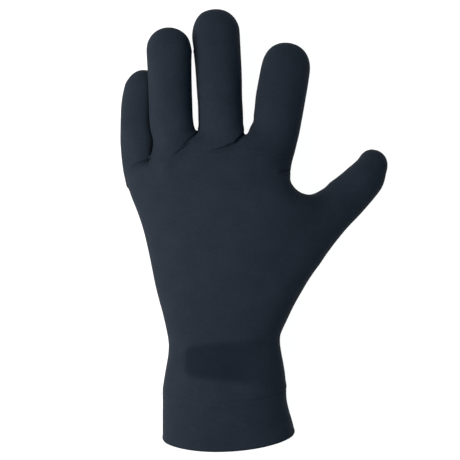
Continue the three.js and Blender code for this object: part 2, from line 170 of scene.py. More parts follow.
# Seams, in millimetres. The side seam is seen from the hem: across and height. The knuckle seam and the webs
# are seen from above: across and along.
SIDE_SEAM = [(-146, 16), (-32, 18.4), (37, 18.4), (64, 15.2), (96, 8.8), (146, 8)]
KNUCKLE_SEAM = [(-200, 102), (-101, 108.5), (-59.9, 124.9), (-45.6, 134.5), (-30.9, 137.5), (-5.8, 142.3),
                (15.6, 144.2), (41.9, 140.3), (50.5, 139.5), (75.8, 201.5), (90, 240)]
RING_WEB = (-16.4, 154.0)
MIDDLE_WEB = (12.0, 153.0)
RING_BORDER = [(-30.8, 139.0), (-26.2, 143.4), (-20.8, 148.2), (-17.4, 152.6)]
MIDDLE_BORDER = [(4.6, 142.0), (5.4, 145.0), (7.0, 148.0), (10.6, 152.4)]
BORDER_RISE = (14.0, 24.0)  # the heights between which the palm's line goes over to the back's border
BORDER_EASE = 1.0

# Up to their web, the ring stall and the little stall are cut apart at the ring stall's side. Past it each
# lies clear of the other, so the cut swings aside there and takes nothing.
CUT_ASIDE = 60.0
CUT_SWING = 2.3
RING_CUT_ENDS = 1.4
LITTLE_CUT_ENDS = 0.2

# Where two forms run into each other without a groove: the route of the joint, its reach, how often it is
# eased, and the share of that which its rim takes
EASED = [
    ([(64, 118), (54, 110), (43, 97), (33, 82), (24, 62), (16, 44)], 26.0, 300, 0.0),
    ([(48, 116), (58, 117)], 11.0, 150, 1.0),
    ([(-54, 136), (-40, 143), (-30, 146), (-4, 150), (14, 150)], 9.0, 60, 0.0),
    ([(17, 151), (28, 149), (38, 145)], 15.0, 150, 0.0),
]
EASED_FACING = (0.1, 0.5)  # only what faces up or down is eased
SMOOTHING = 0.5
LEAST_WEIGHT = 0.01

# Where the cloth lies off the plain forms: across, along, the pull across and along, and its reach
PULLS = [
    (43.0, 138.0, -2.1, -0.2, 13.0),
    (45.0, 119.0, -0.6, -1.0, 9.0),
    (57.0, 119.0, -0.4, 0.8, 6.0),
    (69.0, 129.0, -0.7, 0.9, 11.0),
    (83.0, 141.5, 0.4, -0.7, 5.0),
    (97.0, 125.0, 0.6, -0.2, 8.0),
    (68.0, 90.0, -0.4, 0.3, 14.0),
    (24.0, 202.0, 0.6, -0.2, 8.0),
    (-16.0, 158.0, 0.4, 0.0, 6.0),
    (-18.0, 157.6, 0.6, 0.0, 1.8),
    (-15.0, 157.6, -0.6, 0.0, 1.8),
    (-15.0, 169.0, 0.3, 0.0, 8.0),
    (12.5, 158.0, -0.9, 0.0, 7.0),
    (12.9, 155.2, 0.0, -1.8, 2.6),
    (11.3, 157.0, 0.6, 0.0, 2.5),
    (17.0, 162.5, 0.9, 0.0, 3.0),
    (18.9, 179.0, -0.5, 0.0, 8.0),
    (51.6, 197.4, -0.6, 0.0, 9.0),
    (-17.0, 214.0, -0.6, 0.0, 5.0),
    (-24.5, 212.0, 0.35, 0.1, 4.0),
    (-14.3, 228.5, -0.2, 0.4, 5.0),
    (42.0, 143.0, 0.5, 0.0, 6.0),
    (34.3, 21.8, 0.45, 0.0, 8.0),
    (37.3, -2.1, 0.5, 0.0, 6.0),
    (-62.9, 174.0, -0.6, 0.1, 9.0),
    (-43.5, 149.0, 2.4, 0.0, 8.5),
    (-58.0, 190.0, 0.9, -0.8, 7.0),
    (-60.5, 125.0, 0.7, 0.0, 5.0),
    (-55.0, 109.0, -0.6, 0.1, 10.0),
    (-42.0, 62.0, -0.4, 0.0, 14.0),
]

# The soft hollow sunk into the back of the wrist, which widens and runs out towards the thumb's side. The
# jersey's colour is darkened in it too: painted shade of the hollow.
DENT_DEPTH = 0.5
DENT_MIDDLE = (6.0, 18.4)
DENT_HALF = (29.0, 8.6)
DENT_SPREAD = 0.1
DENT_ROUND = 5.0
DENT_EDGE = 2.4
DENT_FADE = (0.0, 36.0)

# Creases above the knuckles. Each comes down beside its stall, turns under its root and runs out on the hand.
RING_CREASE = [(-15.2, 178.0), (-15.4, 156.0), (-17.4, 153.2), (-22.5, 148.5), (-26.5, 145.0), (-30.0, 142.0)]
RING_SECOND_CREASE = [(-20.2, 148.2), (-25.6, 143.6), (-30.6, 139.7)]
MIDDLE_CREASE = [(12.4, 178.0), (12.4, 156.0), (11.1, 153.2), (6.6, 147.7), (1.6, 145.4), (-4.0, 143.7),
                 (-9.5, 143.2), (-15.0, 143.4)]
LITTLE_CREASE = [(-41.4, 166.0), (-42.0, 150.0), (-44.4, 138.8), (-50.0, 137.0), (-58.4, 134.2)]
THUMB_WEB_CREASE = [(39.8, 131.7), (36.2, 131.0), (32.6, 129.8)]

# Fine creases: the route, the depth and the half width
CREASES = [(RING_CREASE[:4], 0.5, 0.65), (RING_SECOND_CREASE, 0.7, 0.6), (MIDDLE_CREASE, 0.75, 0.65),
           (LITTLE_CREASE[2:], 0.55, 0.5), (THUMB_WEB_CREASE, 1.3, 0.7)]
CREASE_FADE_FROM = 0.6
CREASE_FADE = 0.8
CREASE_MESH = (3.6, 1.8)  # the mesh is made finer this near to a crease, twice
CREASE_LEVEL = 0.4 * KNUCKLE_HEIGHT  # and above this height

# Folds where a stall overhangs its crease: the route, the height of the stall's side over the hand, how far
# in from the crease it is reached, and how far along the route it starts to run out
FOLDS = [(RING_CREASE, 1.8, 6.0, 0.6), (MIDDLE_CREASE, 2.4, 7.0, 0.6), (LITTLE_CREASE, 1.8, 5.0, 0.75)]
FOLD_LENGTH = 26.0
FOLD_DIP = 0.3
FOLD_DIP_OUT = 1.0
FOLD_DIP_WIDTH = 1.2
FOLD_INSIDE = 1.5
FOLD_OUTSIDE = 0.5

# What counts as the back of the glove: how far up it faces, and how high it lies
BACK_FACING = (0.0, 0.5)
BACK_HEIGHT = (14.0, 22.0)
CREASE_FACING = (-0.1, 0.3)

# A glued seam: a fine valley between two low shoulders. The cuff's seam is lapped: the hand's edge stands
# over the cuff, least on the little finger's side. The cut hem is rolled over, inside a low lip.
EDGE_MESH = (3.0, 1.5)  # the mesh is made finer this near to an edge, twice
EDGE_REACH = 0.5
SEAM_DEPTH = 0.05
SEAM_WIDTH = 0.45
SEAM_SHOULDER = 0.03
SEAM_SHOULDER_IN = 1.6
SHOULDER_WIDTH = 1.0
LAP_RISE = 0.18
LAP_RISE_IN = 1.8
LAP_DIP = 0.45
LAP_DIP_IN = 5.0
LAP_LEAST = 0.3
LAP_GROWS = (5.0, 30.0)
HEM_ROLL = 0.5
HEM_ROLL_REACH = 0.6
HEM_LIP = 0.22
HEM_LIP_IN = 1.6

# Broad unevenness of the foam
UNEVEN = 0.3
UNEVEN_SIZE = 28.0

# Thread: running stitches beside the seams, from one place across to another
STITCH_LENGTH = 2.4
STITCH_GAP = 1.8
STITCH_ASIDE = 1.7
THREAD_WIDTH = 0.36
THREAD_SUNK = 0.09
BEAD_SIDES = 8
BEAD_ROWS = 6
KNUCKLE_STITCH_SPAN = (-57.0, 40.0)
BAND_STITCH_SPAN = (-36.0, 36.0)
ABOVE_GLOVE = 80.0
BELOW_GLOVE = -20.0
STITCH_FACING = 0.25


def place(across, along, rise=0.0):
    """A point of the frame, from millimetres on the glove."""
    return (Vector((across, along, rise)) - FRAME_ORIGIN) * MM


# Making meshes by hand

def only(obj):
    bpy.ops.object.select_all(action="DESELECT")
    obj.select_set(True)
    bpy.context.view_layer.objects.active = obj


def corners(obj):
    """A mesh's corners in millimetres on the glove."""
    flat = np.empty(len(obj.data.vertices) * 3)
    obj.data.vertices.foreach_get("co", flat)
    return flat.reshape(-1, 3) / MM + np.array(FRAME_ORIGIN)


def set_corners(obj, points):
    flat = (points - np.array(FRAME_ORIGIN)) * MM
    obj.data.vertices.foreach_set("co", flat.ravel())
    obj.data.update()


def apply(obj, kind, **settings):
    """Adds one modifier, with its settings, and applies it."""
    only(obj)
    modifier = obj.modifiers.new(kind.title(), kind)
    for name, value in settings.items():
        setattr(modifier, name, value)
    bpy.ops.object.modifier_apply(modifier=modifier.name)


def copy_of(obj, name):
    twin = obj.copy()
    twin.data = obj.data.copy()
    twin.name = name
    bpy.context.scene.collection.objects.link(twin)
    return twin


def joined(parts, name):
    bpy.ops.object.select_all(action="DESELECT")
    for part in parts:
        part.select_set(True)
    bpy.context.view_layer.objects.active = parts[0]
    bpy.ops.object.join()
    parts[0].name = name
    return parts[0]


def drawn_form(name, rings):
    """A closed form: a filled circle laid on the first ring, extruded from ring to ring."""
    first = rings[0]
    bpy.ops.object.select_all(action="DESELECT")
    bpy.ops.mesh.primitive_circle_add(
        vertices=len(first), radius=(first[0] - first[len(first) // 2]).length / 2, fill_type="NGON",
        location=sum(first, Vector()) / len(first),
    )
    form = bpy.context.object
    form.name = name
    bpy.ops.object.transform_apply()
    bpy.ops.object.mode_set(mode="EDIT")
    mesh = bmesh.from_edit_mesh(form.data)
    mesh.verts.ensure_lookup_table()
    row = list(mesh.verts)
    for vert, point in zip(row, first):
        vert.co = point
    for ring_points in rings[1:]:
        bpy.ops.mesh.extrude_region_move()
        mesh = bmesh.from_edit_mesh(form.data)
        mesh.verts.ensure_lookup_table()
        row = next_row(mesh, row, len(first))
        for vert, point in zip(row, ring_points):
            vert.co = point
    bmesh.update_edit_mesh(form.data)
    bpy.ops.mesh.select_all(action="SELECT")
    bpy.ops.mesh.normals_make_consistent(inside=False)
    bpy.ops.object.mode_set(mode="OBJECT")
    return form


def next_row(mesh, row, count):
    """The corners just extruded, in the order of the row that they came from."""
    fresh = [vert for vert in mesh.verts if vert.select]
    behind = {}
    for vert in fresh:
        back = [edge.other_vert(vert) for edge in vert.link_edges if not edge.select]
        behind[back[0].index] = vert
    old = sorted(behind)
    return [behind[index] for index in old][:count]


# Forms

def bow(value, squareness):
    return math.copysign(abs(value) ** (2 / squareness), value)


def ring(centre, side, up, half_width, half_height, squareness, count):
    """A rounded ring about a centre, with its half sizes along a side and an up direction."""
    points = []
    for step in range(count):
        angle = -2 * math.pi * step / count
        point = centre + side * half_width * bow(math.cos(angle), squareness)
        points.append(point + up * half_height * bow(math.sin(angle), squareness))
    return [place(*point) for point in points]


def eased_rows(rows, between):
    """Table rows with rows set between them on a smooth curve. The first column is the way along."""
    rows = np.array(rows, dtype=float)
    way = rows[:, 0]
    slopes = np.gradient(rows, way, axis=0)
    eased = []
    for index in range(len(rows) - 1):
        run = way[index + 1] - way[index]
        for step in range(between):
            t = step / between
            start = (1 + 2 * t) * (1 - t) ** 2 * rows[index] + t * (1 - t) ** 2 * run * slopes[index]
            end = t * t * (3 - 2 * t) * rows[index + 1] + t * t * (t - 1) * run * slopes[index + 1]
            eased.append(start + end)
    return eased + [rows[-1]]


def hand_rows():
    spans = [(CUFF_SECTIONS, CUFF_LENGTH, CUFF_WIDTH, CUFF_HEIGHT),
             (WRIST_SECTIONS, HAND_LENGTH, WRIST_WIDTH, WRIST_HEIGHT),
             (PALM_SECTIONS, HAND_LENGTH, KNUCKLE_WIDTH, KNUCKLE_HEIGHT)]
    rows = []
    for sections, span, broad, tall in spans:
        for along, left, right, low, high, roll in sections:
            rows.append((along * span, left * broad, right * broad, low * tall, high * tall, roll))
    return eased_rows(rows, ROWS_BETWEEN)


def hand_form(up_to=None):
    """Cuff, wrist and palm, as far along as is asked for."""
    rings = []
    for along, left, right, low, high, roll in hand_rows():
        if up_to and along > up_to:
            break
        turn = math.radians(roll)
        side = Vector((math.cos(turn), 0, math.sin(turn)))
        up = Vector((-math.sin(turn), 0, math.cos(turn)))
        centre = Vector(((left + right) / 2, along, (low + high) / 2))
        half_width, half_height = (right - left) / 2, (high - low) / 2
        rings.append(ring(centre, side, up, half_width, half_height, HAND_SQUARENESS, HAND_SIDES))
    return drawn_form("hand_form", rings)


def on_curve(points, share):
    """A point of the smooth curve through points, at a share of its way."""
    last = len(points) - 1
    index = min(int(share * last), last - 1)
    t = share * last - index
    here, ahead = points[index], points[index + 1]
    behind = points[index - 1] if index else 2 * here - ahead
    beyond = points[index + 2] if index + 2 <= last else 2 * ahead - here
    gaps = [max((b - a).length, 1e-6) ** 0.5 for a, b in ((behind, here), (here, ahead), (ahead, beyond))]
    leave = (here - behind) / gaps[0] - (ahead - behind) / (gaps[0] + gaps[1]) + (ahead - here) / gaps[1]
    arrive = (ahead - here) / gaps[1] - (beyond - here) / (gaps[1] + gaps[2]) + (beyond - ahead) / gaps[2]
    leave, arrive = leave * gaps[1], arrive * gaps[1]
    bend = 3 * (ahead - here) - 2 * leave - arrive
    twist = 2 * (here - ahead) + leave + arrive
    return here + leave * t + bend * t ** 2 + twist * t ** 3


def tangent(points, share):
    step = 1e-3
    ahead, behind = min(share + step, 1.0), max(share - step, 0.0)
    return (on_curve(points, ahead) - on_curve(points, behind)).normalized()


def sleeve(name, axis, sections):
    """A round-ended sleeve along an axis, through sections of share, half width and half height."""
    table = np.array(sections)
    rings = []

    def add_ring(share, half_width, half_height, ahead):
        forward = tangent(axis, share)
        side = Vector((forward.y, -forward.x, 0)).normalized()
        up = side.cross(forward)
        centre = on_curve(axis, share) + forward * ahead
        rings.append(ring(centre, side, up, half_width, half_height, STALL_SQUARENESS, STALL_SIDES))

    for step in range(AXIS_STEPS + 1):
        share = step / AXIS_STEPS
        add_ring(share, *(np.interp(share, table[:, 0], table[:, column]) for column in (1, 2)), 0)
    half_width, half_height = table[-1, 1:]
    for step in range(1, TIP_STEPS + 1):
        angle = TIP_TURN * math.pi / 2 * step / TIP_STEPS
        add_ring(1, half_width * math.cos(angle), half_height * math.cos(angle), half_width * math.sin(angle))
    return drawn_form(name, rings)


def stall_axis(finger):
    reach = finger["length"] - finger["width"] / 2
    along = math.sqrt(reach ** 2 - (finger["tip"] - finger["across"]) ** 2)
    middle_rise = KNUCKLE_SHARE * finger["knuckle"] + (1 - KNUCKLE_SHARE) * finger["rest"]
    middle_across = (finger["across"] + finger["tip"]) / 2 + finger["sway"]
    middle = Vector((middle_across, KNUCKLE_ALONG + along / 2, middle_rise))
    knuckle = Vector((finger["across"], KNUCKLE_ALONG, finger["knuckle"]))
    return [knuckle, middle, Vector((finger["tip"], KNUCKLE_ALONG + along, finger["rest"]))]


def stall_sections(finger):
    return [(share, width * finger["width"] / 2, height * finger["height"] / 2)
            for share, width, height in STALL_SECTIONS]


def stall_form(name, finger):
    return sleeve(name, stall_axis(finger), stall_sections(finger))


def thumb_form():
    axis = [Vector((across * THUMB_REACH, along * HAND_LENGTH, rise * THUMB_HEIGHT))
            for across, along, width, height, rise in THUMB_SECTIONS]
    last = len(THUMB_SECTIONS) - 1
    sections = [(index / last, width * THUMB_WIDTH / 2, height * THUMB_HEIGHT / 2)
                for index, (across, along, width, height, rise) in enumerate(THUMB_SECTIONS)]
    return sleeve("thumb_form", axis, sections)


# Lines across the glove, as levels on one axis over another

def line(points, values):
    table = np.array(points, dtype=float)
    return np.interp(values, table[:, 0], table[:, 1])


def smooth_step(values, start, end):
    share = np.clip((values - start) / (end - start), 0, 1)
    return share * share * (3 - 2 * share)


def side_seam(points):
    return line(SIDE_SEAM, points[:, 0])


def knuckle_seam(points):
    return line(KNUCKLE_SEAM, points[:, 0])


def band_line(points, ends, slant, bulge):
    share = points[:, 0] / (CUFF_WIDTH / 2)
    return ends + slant * share - bulge * (1 - share ** 2)


def band_seam(points):
    return band_line(points, BAND_RISE, BAND_SLANT, BAND_BULGE)


def hem(points):
    return band_line(points, -HEM_DEPTH, HEM_SLANT, HEM_BULGE)


def web_line(points, web, border):
    """Where two stalls meet: straight up from the seam in the palm, and along a border on the back."""
    back = np.array(border)
    on_back = np.interp(points[:, 1], back[:, 1], back[:, 0])
    raised = smooth_step(points[:, 2], *BORDER_RISE)
    settled = smooth_step(points[:, 1], web[1] - BORDER_EASE, web[1] + BORDER_EASE)
    return web[0] + (on_back - web[0]) * raised * (1 - settled)


def ring_share(points):
    """How far along the ring stall each point lies, from 0 at the knuckle to 1 at its tip."""
    knuckle, middle, tip = stall_axis(RING)
    return np.clip((points[:, 1] - knuckle.y) / (tip.y - knuckle.y), 0, 1)


def ring_side(points):
    """The ring finger's side towards the little finger, at each place along."""
    share = ring_share(points)
    half = np.interp(share, [row[0] for row in STALL_SECTIONS], [row[1] for row in STALL_SECTIONS])
    across = RING["across"] + (RING["tip"] - RING["across"]) * share
    return across - half * RING["width"] / 2 - SEAM_GAP


def past_web(points, after):
    """How far aside a cut has swung, from a place after the little finger's web."""
    return CUT_ASIDE * smooth_step(points[:, 1], LITTLE_WEB + after, LITTLE_WEB + after + CUT_SWING)


# Cutting

def cut(obj, axis, level, keep_above):
    """Cuts a mesh where one of its axes crosses a level that depends on the other two, and keeps one side."""
    points = corners(obj)
    points[:, axis] -= level(points)
    flat = points * MM
    obj.data.vertices.foreach_set("co", flat.ravel())
    only(obj)
    bpy.ops.object.mode_set(mode="EDIT")
    bpy.ops.mesh.select_all(action="SELECT")
    normal = [0, 0, 0]
    normal[axis] = 1
    bpy.ops.mesh.bisect(plane_co=(0, 0, 0), plane_no=normal, clear_inner=keep_above,
                        clear_outer=not keep_above, threshold=1e-6)
    bpy.ops.mesh.select_all(action="SELECT")
    bpy.ops.mesh.remove_doubles(threshold=SLIVER * MM)
    bpy.ops.object.mode_set(mode="OBJECT")
    flat = np.empty(len(obj.data.vertices) * 3)
    obj.data.vertices.foreach_get("co", flat)
    points = flat.reshape(-1, 3) / MM
    points[:, axis] += level(points)
    set_corners(obj, points)


def normals(obj):
    flat = np.empty(len(obj.data.vertices) * 3)
    obj.data.vertices.foreach_get("normal", flat)
    return flat.reshape(-1, 3)


def face_out(obj):
    """Makes the normals agree after a mesh is merged or cut, with the skin's outside still outside."""
    before = normals(obj)
    only(obj)
    bpy.ops.object.mode_set(mode="EDIT")
    bpy.ops.mesh.select_all(action="SELECT")
    bpy.ops.mesh.normals_make_consistent(inside=False)
    bpy.ops.object.mode_set(mode="OBJECT")
    if (normals(obj) * before).sum() < 0:
        bpy.ops.object.mode_set(mode="EDIT")
        bpy.ops.mesh.flip_normals()
        bpy.ops.object.mode_set(mode="OBJECT")


def near_line(points, route):
    """Each point's distance from a route in plan, its signed side, and its share of the route's length."""
    route = np.array(route, dtype=float)
    flat = points[:, :2]
    lengths = np.linalg.norm(np.diff(route, axis=0), axis=1)
    starts = np.concatenate([[0], np.cumsum(lengths)])
    best = np.full(len(flat), np.inf)
    side = np.zeros(len(flat))
    share = np.zeros(len(flat))
    for index, length in enumerate(lengths):
        run = (route[index + 1] - route[index]) / length
        away = flat - route[index]
        along = np.clip(away @ run, 0, length)
        distance = np.linalg.norm(away - along[:, None] * run, axis=1)
        closer = distance < best
        best[closer] = distance[closer]
        side[closer] = np.sign(run[0] * away[:, 1] - run[1] * away[:, 0])[closer]
        share[closer] = ((starts[index] + along) / starts[-1])[closer]
    return best, side * best, share


def bump(values, centre, width):
    return np.exp(-((values - centre) / width) ** 2)


def eased_at(obj, weights, iterations):
    """Smooths a mesh where its weights are high."""
    group = obj.vertex_groups.new(name="eased")
    for index in np.nonzero(weights > LEAST_WEIGHT)[0]:
        group.add([int(index)], float(weights[index]), "REPLACE")
    apply(obj, "SMOOTH", factor=SMOOTHING, iterations=iterations, vertex_group="eased")
    obj.vertex_groups.clear()


def refine(obj, wanted):
    """Subdivides the faces of a mesh that have a wanted corner."""
    only(obj)
    bpy.ops.object.mode_set(mode="EDIT")
    bpy.ops.mesh.select_all(action="DESELECT")
    mesh = bmesh.from_edit_mesh(obj.data)
    for face in mesh.faces:
        face.select = any(wanted[vert.index] for vert in face.verts)
    bmesh.update_edit_mesh(obj.data)
    bpy.ops.mesh.subdivide(number_cuts=1)
    bpy.ops.object.mode_set(mode="OBJECT")


def hollow_and_shade(points):
    """How far into the hollow on the back of the wrist a point lies, from 0 to 1. It sets the hollow's depth
    and the strength of the shade painted into the jersey there.
    """
    across = np.abs(points[:, 0] - DENT_MIDDLE[0]) - (DENT_HALF[0] - DENT_ROUND)
    half_along = DENT_HALF[1] + DENT_SPREAD * (points[:, 0] - DENT_MIDDLE[0] + DENT_HALF[0])
    along = np.abs(points[:, 1] - DENT_MIDDLE[1]) - (half_along - DENT_ROUND)
    outside = np.hypot(np.maximum(across, 0), np.maximum(along, 0))
    distance = outside + np.minimum(np.maximum(across, along), 0)
    inside = 1 - smooth_step(distance, DENT_ROUND - DENT_EDGE, DENT_ROUND + DENT_EDGE)
    return inside * (1 - smooth_step(points[:, 0], *DENT_FADE)) * (points[:, 2] > WRIST_HEIGHT / 2)


def fold(points, route, height, reach, full):
    """A rounded edge along a crease: high on the stall's side, level with the hand on the other."""
    distance, side, share = near_line(points, route)
    inward = np.clip(-side / reach, 0, 1)
    swell = np.sqrt(1 - (1 - inward) ** 2) * (1 - smooth_step(-side, reach, FOLD_LENGTH))
    dip = FOLD_DIP * bump(side, FOLD_DIP_OUT, FOLD_DIP_WIDTH) * (side > 0)
    own = 1 - smooth_step(points[:, 0], route[1][0] - FOLD_INSIDE, route[1][0] + FOLD_OUTSIDE)
    up_stall = 1 - smooth_step(points[:, 1], route[1][1], route[0][1])
    return height * own * up_stall * (1 - smooth_step(share, full, 1.0)) * (swell - dip)


def pulled(points):
    """Points after the soft pulls in plan."""
    moved = points.copy()
    for across, along, shift_across, shift_along, reach in PULLS:
        near = bump(np.hypot(points[:, 0] - across, points[:, 1] - along), 0, reach)
        moved[:, 0] += shift_across * near
        moved[:, 1] += shift_along * near
    return moved


def shaped(skin):
    """The cloth's larger forms: folds where the stalls buckle, the hollow, and the flat underside."""
    for reach in CREASE_MESH:
        points = corners(skin)
        near = np.min([near_line(points, route)[0] for route, *rest in CREASES], axis=0)
        refine(skin, (near < reach) & (points[:, 2] > CREASE_LEVEL))
    points, out = pulled(corners(skin)), normals(skin)
    on_back = smooth_step(out[:, 2], *BACK_FACING) * smooth_step(points[:, 2], *BACK_HEIGHT)
    lift = LOFT - DENT_DEPTH * hollow_and_shade(points)
    lift += on_back * sum(fold(points, *settings) for settings in FOLDS)
    lift += [UNEVEN * noise.noise(Vector(point) / UNEVEN_SIZE) for point in points]
    points += out * lift[:, None]
    points[:, 2] = (points[:, 2] + np.sqrt(points[:, 2] ** 2 + TABLE_EASE ** 2)) / 2
    set_corners(skin, points)


def leaned(skin):
    """Presses the little finger's side back to a wall that leans under the ring finger, past their web."""
    points = corners(skin)
    along = points[:, 1]
    knuckle, middle, tip = stall_axis(RING)
    share = ring_share(points)
    table = np.array(STALL_SECTIONS)
    half_width = np.interp(share, table[:, 0], table[:, 1]) * RING["width"] / 2
    half_height = np.interp(share, table[:, 0], table[:, 2]) * RING["height"] / 2
    leaning = smooth_step(along, LITTLE_WEB - LEAN_RUN / 2, LITTLE_WEB + LEAN_RUN / 2)
    lean = np.radians(LITTLE_LEAN) * leaning
    room = np.hypot(half_width * np.cos(lean), half_height * np.sin(lean)) + SEAM_GAP + LOFT
    from_axis = points[:, 0] - (knuckle.x + (tip.x - knuckle.x) * share)
    above_axis = points[:, 2] - (knuckle.z + (tip.z - knuckle.z) * share)
    depth = room + from_axis * np.cos(lean) + above_axis * np.sin(lean)
    past = smooth_step(along, LITTLE_WEB + LEAN_FROM, LITTLE_WEB + LEAN_FULL)
    push = (depth + np.hypot(depth, LEAN_EASE)) / 2 * past
    points[:, 0] -= push * np.cos(lean)
    points[:, 2] -= push * np.sin(lean)
    set_corners(skin, points)


def skin_of(forms, name, under_ring=False):
    """One smooth skin round forms that run through each other."""
    skin = joined(forms, name)
    apply(skin, "REMESH", mode="VOXEL", voxel_size=VOXEL * MM)
    apply(skin, "SMOOTH", factor=SMOOTHING, iterations=SKIN_SMOOTHING)
    for route, reach, times, rim in EASED:
        level = np.maximum(rim, smooth_step(np.abs(normals(skin)[:, 2]), *EASED_FACING))
        distance = near_line(corners(skin), route)[0]
        eased_at(skin, level * (1 - smooth_step(distance, reach / 2, reach)), times)
    if under_ring:
        leaned(skin)
    shaped(skin)
    return skin


def glove_forms(*stalls):
    return [hand_form(), thumb_form()] + [stall_form(name, finger) for name, finger in stalls]


def ring_web(points):
    return web_line(points, RING_WEB, RING_BORDER)


def middle_web(points):
    return web_line(points, MIDDLE_WEB, MIDDLE_BORDER)


def little_web(points):
    """Where the ring stall ends towards the little finger: at its own side, and past the web nowhere."""
    return ring_side(points) - past_web(points, RING_CUT_ENDS)


def little_side(points):
    """Where the little stall ends towards the ring finger: at its side, and past the web nowhere."""
    return ring_side(points) + past_web(points, LITTLE_CUT_ENDS)


def knuckle_stitches(points):
    return knuckle_seam(points) - STITCH_ASIDE


def band_stitches(points):
    return band_seam(points) - STITCH_ASIDE


def nearest_border(obj):
    """How far each corner of a mesh lies from its open edges, and the place on them that is nearest."""
    mesh = bmesh.new()
    mesh.from_mesh(obj.data)
    border = sorted({vert.index for edge in mesh.edges if edge.is_boundary for vert in edge.verts})
    mesh.free()
    points = corners(obj)
    tree = KDTree(len(border))
    for index in border:
        tree.insert(points[index], index)
    tree.balance()
    found = [tree.find(point) for point in points]
    return np.array([row[2] for row in found]), np.array([points[row[1]] for row in found])


def worked(obj, out, border, at_hem, at_band, is_cuff):
    """Works the seams, the creases and the rolled hem into the outer face, along its normals."""
    everything = corners(obj)
    points = everything[:len(out)]
    shoulder = SEAM_SHOULDER * bump(border, SEAM_SHOULDER_IN, SHOULDER_WIDTH)
    lift = -SEAM_DEPTH * bump(border, 0, SEAM_WIDTH) + shoulder
    loose = LAP_LEAST + (1 - LAP_LEAST) * smooth_step(points[:, 0], *LAP_GROWS)
    level, inward = (-LAP_DIP, LAP_DIP_IN) if is_cuff else (LAP_RISE, LAP_RISE_IN)
    lift = np.where(at_band, lift + loose * level * bump(border, inward, inward), lift)
    lip = HEM_LIP * bump(border, HEM_LIP_IN, SHOULDER_WIDTH)
    rolled = -HEM_ROLL * bump(border, 0, HEM_ROLL_REACH) + lip
    lift = np.where(at_hem, rolled, lift)
    on_back = smooth_step(out[:, 2], *CREASE_FACING)
    for route, depth, width in CREASES:
        distance, side, share = near_line(points, route)
        strength = 1 - smooth_step(share, CREASE_FADE_FROM, 1.0) * CREASE_FADE
        lift -= on_back * depth * bump(distance, 0, width) * strength
    everything[:len(out)] += out * lift[:, None]
    everything[:, 2] = np.maximum(everything[:, 2], TABLE_CLEARANCE)
    set_corners(obj, everything)


def piece(source, name, cuts, sheet):
    """A shell cut out of a skin, with its wall and its worked edges, in the outside, lining and foam."""
    made = copy_of(source, name)
    for axis, level, keep_above in cuts:
        cut(made, axis, level, keep_above)
    face_out(made)
    for reach in EDGE_MESH:
        refine(made, nearest_border(made)[0] < reach)
    border, nearest = nearest_border(made)
    at_hem = np.abs(nearest[:, 1] - hem(nearest)) < EDGE_REACH
    at_band = np.abs(nearest[:, 1] - band_seam(nearest)) < EDGE_REACH
    is_cuff = name == "cuff_shell"
    out = normals(made)
    made.data.materials.clear()
    for material in sheet:
        made.data.materials.append(material)
    rim = 2 if is_cuff else 0  # the cut edge of the foam shows only at the hem
    apply(made, "SOLIDIFY", thickness=WALL * MM, offset=-1, use_rim=True, material_offset=1,
          material_offset_rim=rim, use_quality_normals=True)
    worked(made, out, border, at_hem, at_band, is_cuff)
    # The hollow's share goes with the piece, for the shade that the jersey paints into its colour there.
    mark = made.data.attributes.new("hollow_and_shade", "FLOAT", "POINT")
    mark.data.foreach_set("value", hollow_and_shade(corners(made)).astype(np.float32))
    only(made)
    bpy.ops.object.shade_smooth_by_angle(angle=math.radians(SOFT_ANGLE))
    return made


def stitches(shells, name, line_at, span, yarn):
    """Running stitches on the shells along a line in plan, except where the palm rests on the table."""
    trees = [BVHTree.FromObject(shell, bpy.context.evaluated_depsgraph_get()) for shell in shells]
    bpy.ops.object.select_all(action="DESELECT")
    bpy.ops.mesh.primitive_uv_sphere_add(segments=BEAD_SIDES, ring_count=BEAD_ROWS, radius=1)
    bead = bpy.context.object
    made = []
    start, end = span
    pitch = STITCH_LENGTH + STITCH_GAP
    size = Matrix.Diagonal((STITCH_LENGTH / 2 * MM, THREAD_WIDTH / 2 * MM, THREAD_WIDTH / 2 * MM, 1))
    for step in range(int((end - start) / pitch)):
        across = start + (step + 0.5) * pitch
        here = np.array([[across, 0, 0], [across + 1, 0, 0]])
        along = line_at(here)
        for height, down in ((ABOVE_GLOVE, -1), (BELOW_GLOVE, 1)):
            hits = [tree.ray_cast(place(across, along[0], height), Vector((0, 0, down))) for tree in trees]
            hits = [hit for hit in hits if hit[0] is not None and hit[1].z * down < -STITCH_FACING]
            if not hits:
                continue
            spot, outward = min(hits, key=lambda hit: hit[3])[:2]
            if spot.z < THREAD_WIDTH * MM:
                continue
            run = Vector((1, along[1] - along[0], 0))
            run = (run - outward * run.dot(outward)).normalized()
            turn = Matrix((run, outward.cross(run), outward)).transposed().to_4x4()
            stitch = copy_of(bead, name)
            stitch.data.transform(Matrix.Translation(spot - outward * THREAD_SUNK * MM) @ turn @ size)
            made.append(stitch)
    bpy.data.objects.remove(bead)
    thread = joined(made, name)
    thread.data.materials.append(yarn)
    only(thread)
    bpy.ops.object.shade_smooth()
    return thread


# The camera looks straight down on the back of the glove, with the fingers up in the picture. The floor is a
# plain white table, and the light is soft, from the left.
CAMERA_HEIGHT = 600.0
CAMERA_ABOVE = (3.367, 96.115)
VIEW_WIDTH = 281.6
VIEW_LEVEL = 18.0
SENSOR = 36.0
CLIP = (0.01, 50.0)
TABLE_SIZE = 6.0
PAPER_GLOW = 0.97
SKY_COLOUR = (0.63, 0.84, 1.0, 1)
SKY_STRENGTH = 0.34
LAMP_COLOUR = (1.0, 0.89, 0.83)
LAMP_SIZE = 0.3
LAMP_POWER = 3.35
LAMP_PLACE = (-0.31, 0.005, 0.37)
LAMP_AIM = (-0.02, 0, 0.02)


